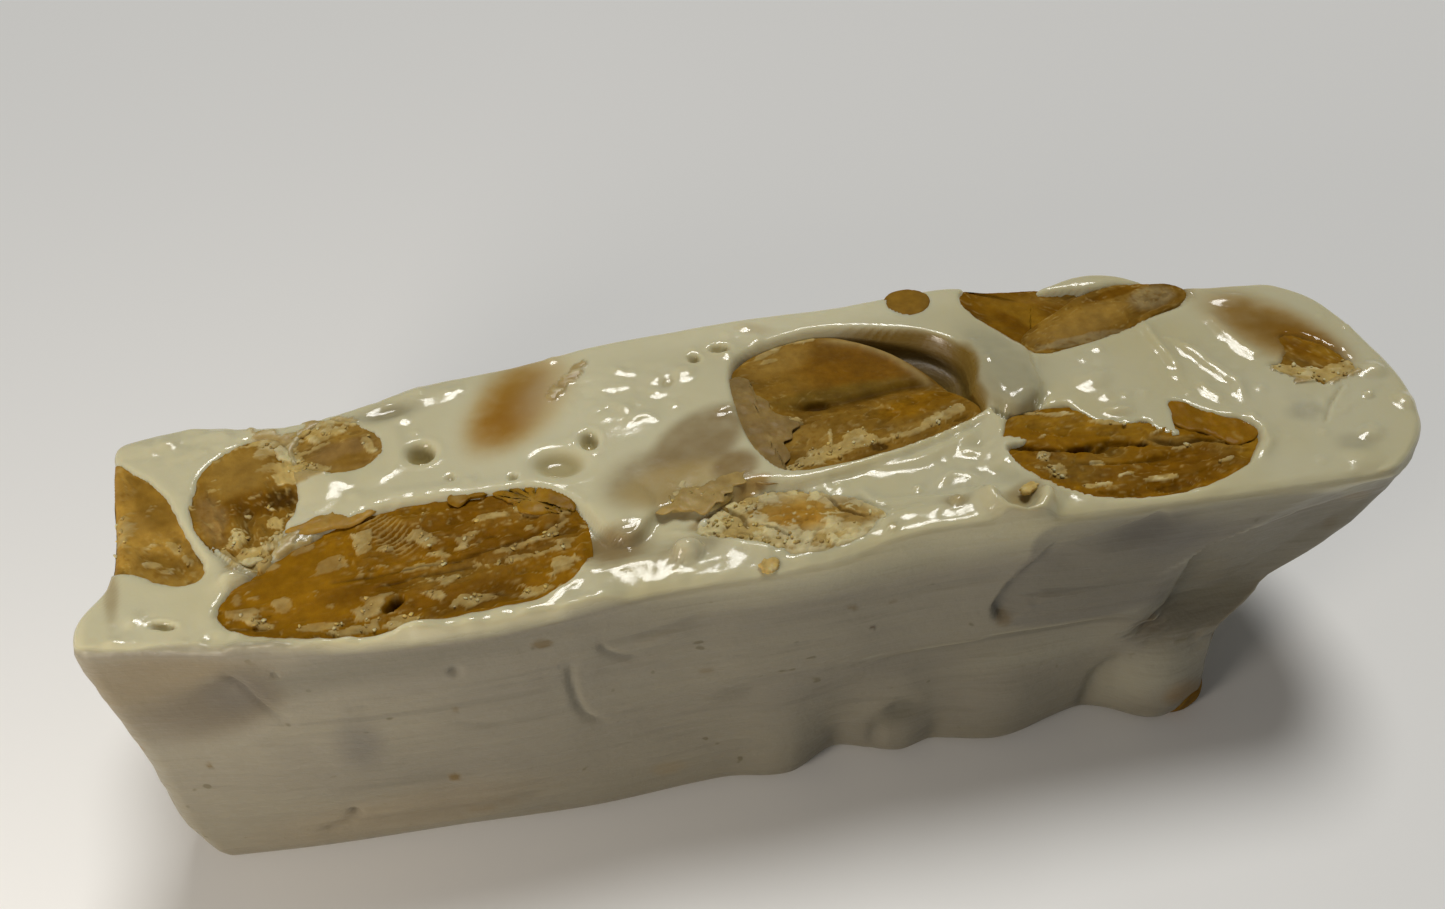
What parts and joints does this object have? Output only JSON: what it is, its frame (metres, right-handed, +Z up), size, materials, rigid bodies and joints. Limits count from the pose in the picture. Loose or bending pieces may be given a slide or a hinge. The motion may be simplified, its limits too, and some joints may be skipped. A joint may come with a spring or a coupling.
{
  "type": "nougat bar",
  "caption": "Rectangular bar of soft white nougat with roasted almonds opened by the cut along its glossy upper face; the broad sides are smooth.",
  "frame": {"origin": "middle of the flat base, at the centre of the bounding box in plan", "axes": "+X along the bar towards the end with the undercut foot, +Y from the front side to the back side, +Z up through the cut face"},
  "size_m": [0.1028, 0.0304, 0.0265],
  "materials": {
    "nougat": "soft cream nougat, glossy on the cut face and satin on the smooth sides",
    "almond": "roasted almond, broken and fibrous, with pale crumbs"
  },
  "bodies": {
    "root": {"nougat": "nougat", "almond_left_end": "almond", "almond_front_left": "almond", "almond_back_left": "almond", "almond_back_left_half": "almond", "almond_veiled_left": "almond", "almond_centre_back": "almond", "almond_centre_front": "almond", "almond_veiled_centre": "almond", "almond_front_centre": "almond", "almond_front_right": "almond", "almond_back_right": "almond", "almond_back_right_half": "almond", "almond_right_end": "almond", "almond_chip_back": "almond", "almond_foot_right": "almond"}
  },
  "joints": []
}
